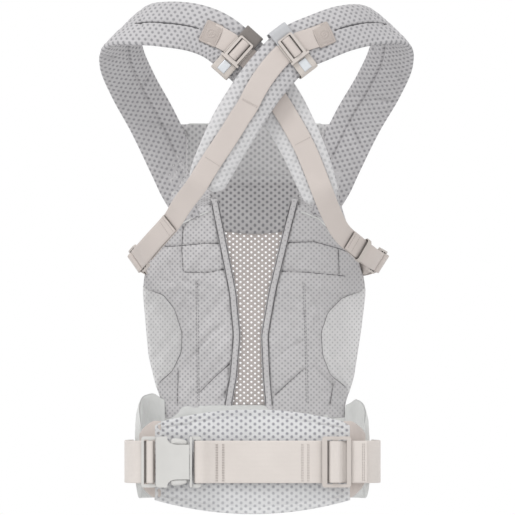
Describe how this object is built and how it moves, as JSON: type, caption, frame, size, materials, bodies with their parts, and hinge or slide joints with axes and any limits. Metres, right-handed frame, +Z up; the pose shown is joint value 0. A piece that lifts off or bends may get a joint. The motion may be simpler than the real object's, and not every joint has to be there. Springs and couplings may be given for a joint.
{
  "type": "soft baby carrier",
  "caption": "Soft baby carrier in air mesh, as worn: crossed padded shoulder straps, body panel with mesh window, and a buckled waist belt over a lumbar pad.",
  "frame": {"origin": "centre of the waist ring, on the centreline of the belt webbing", "axes": "+Z up, +X to the right as seen from behind the wearer, -Y towards the wearer's back, +Y towards the baby panel"},
  "size_m": [0.3769, 0.2277, 0.6052],
  "materials": {
    "air_mesh": "pearl-grey knitted air mesh with small sunk dots",
    "lumbar_mesh": "paler knitted air mesh with larger sunk dots",
    "window_mesh": "open warm-grey mesh with round holes",
    "binding": "folded grey tape, edge-stitched",
    "lining": "smooth pale-grey woven lining",
    "foam": "soft open-cell foam, hidden",
    "webbing": "warm taupe woven webbing with fine ribs",
    "plastic": "pale warm-grey moulded acetal, satin",
    "elastic": "ribbed taupe elastic",
    "reflective": "silver reflective tape",
    "label": "taupe rubberised label with an embossed ring"
  },
  "bodies": {
    "root": {"body_panel_left": "air_mesh", "body_panel_right": "air_mesh", "leg_pad_left": "air_mesh", "leg_pad_right": "air_mesh", "window_binding_left": "binding", "window_binding_right": "binding", "upper_panel_left": "air_mesh", "upper_panel_right": "air_mesh", "waist_wing_left": "lining", "waist_wing_right": "lining", "side_tab_left": "webbing", "side_tab_right": "webbing", "strap_cover_left": "air_mesh", "strap_lining_left": "air_mesh", "strap_foam_left": "foam", "strap_cover_right": "air_mesh", "strap_lining_right": "air_mesh", "strap_foam_right": "foam", "shoulder_webbing_left": "webbing", "shoulder_webbing_right": "webbing", "adjuster_anchor_left": "webbing", "adjuster_anchor_right": "webbing", "label_tab_left": "label", "label_tab_right": "label", "mesh_window": "window_mesh", "neck_support": "air_mesh", "front_waistband_cover": "lumbar_mesh", "front_waistband_lining": "lining", "front_waistband_foam": "foam", "lumbar_pad_cover": "lumbar_mesh", "lumbar_pad_foam": "foam", "lumbar_pad_lining": "lining", "belt_webbing_front": "webbing", "buckle_plug": "plastic"},
    "head_flap": {"head_flap": "air_mesh"},
    "buckle_socket": {"buckle_socket": "plastic", "belt_webbing_left": "webbing"},
    "prong_upper": {"buckle_prong_upper": "plastic"},
    "prong_lower": {"buckle_prong_lower": "plastic"},
    "belt_tri_glide": {"belt_tri_glide": "plastic", "belt_webbing_tail": "webbing"},
    "strap_slider_left": {"strap_slider_left": "plastic", "slider_band_left": "elastic", "reflective_strip_left": "reflective"},
    "strap_slider_right": {"strap_slider_right": "plastic", "slider_band_right": "elastic", "reflective_strip_right": "reflective"},
    "adjuster_left": {"adjuster_left": "plastic", "webbing_tail_left": "webbing"},
    "adjuster_right": {"adjuster_right": "plastic", "webbing_tail_right": "webbing", "tail_keeper_right": "elastic"}
  },
  "joints": [
    {"name": "head_support_fold", "type": "hinge", "parent": "root", "child": "head_flap", "pos_m": [0, 0.09521, 0.337], "axis": [-1, 0, 0], "range_deg": [0, 150]},
    {"name": "waist_buckle_release", "type": "slide", "parent": "root", "child": "buckle_socket", "axis": [-1, 0, 0], "range_m": [0, 0.045]},
    {"name": "prong_upper_squeeze", "type": "slide", "parent": "root", "child": "prong_upper", "axis": [0, 0, -1], "range_m": [0, 0.0025], "stiffness_N_per_m": 400},
    {"name": "prong_lower_squeeze", "type": "slide", "parent": "root", "child": "prong_lower", "axis": [0, 0, 1], "range_m": [0, 0.0025], "stiffness_N_per_m": 400},
    {"name": "belt_tri_glide_slide", "type": "slide", "parent": "root", "child": "belt_tri_glide", "axis": [1, 0, 0], "range_m": [-0.015, 0.015]},
    {"name": "strap_slider_left_slide", "type": "slide", "parent": "root", "child": "strap_slider_left", "axis": [0.7437, -0.033, -0.6677], "range_m": [-0.005, 0.005]},
    {"name": "strap_slider_right_slide", "type": "slide", "parent": "root", "child": "strap_slider_right", "axis": [-0.7831, -0.1628, -0.6002], "range_m": [-0.005, 0.005]},
    {"name": "adjuster_left_tilt", "type": "hinge", "parent": "root", "child": "adjuster_left", "pos_m": [-0.13896, 0.02149, 0.23637], "axis": [0.5686, -0.1045, -0.816], "range_deg": [0, 15]},
    {"name": "adjuster_right_tilt", "type": "hinge", "parent": "root", "child": "adjuster_right", "pos_m": [0.14664, 0.02181, 0.23503], "axis": [0.5345, -0.0165, 0.845], "range_deg": [0, 15]}
  ]
}
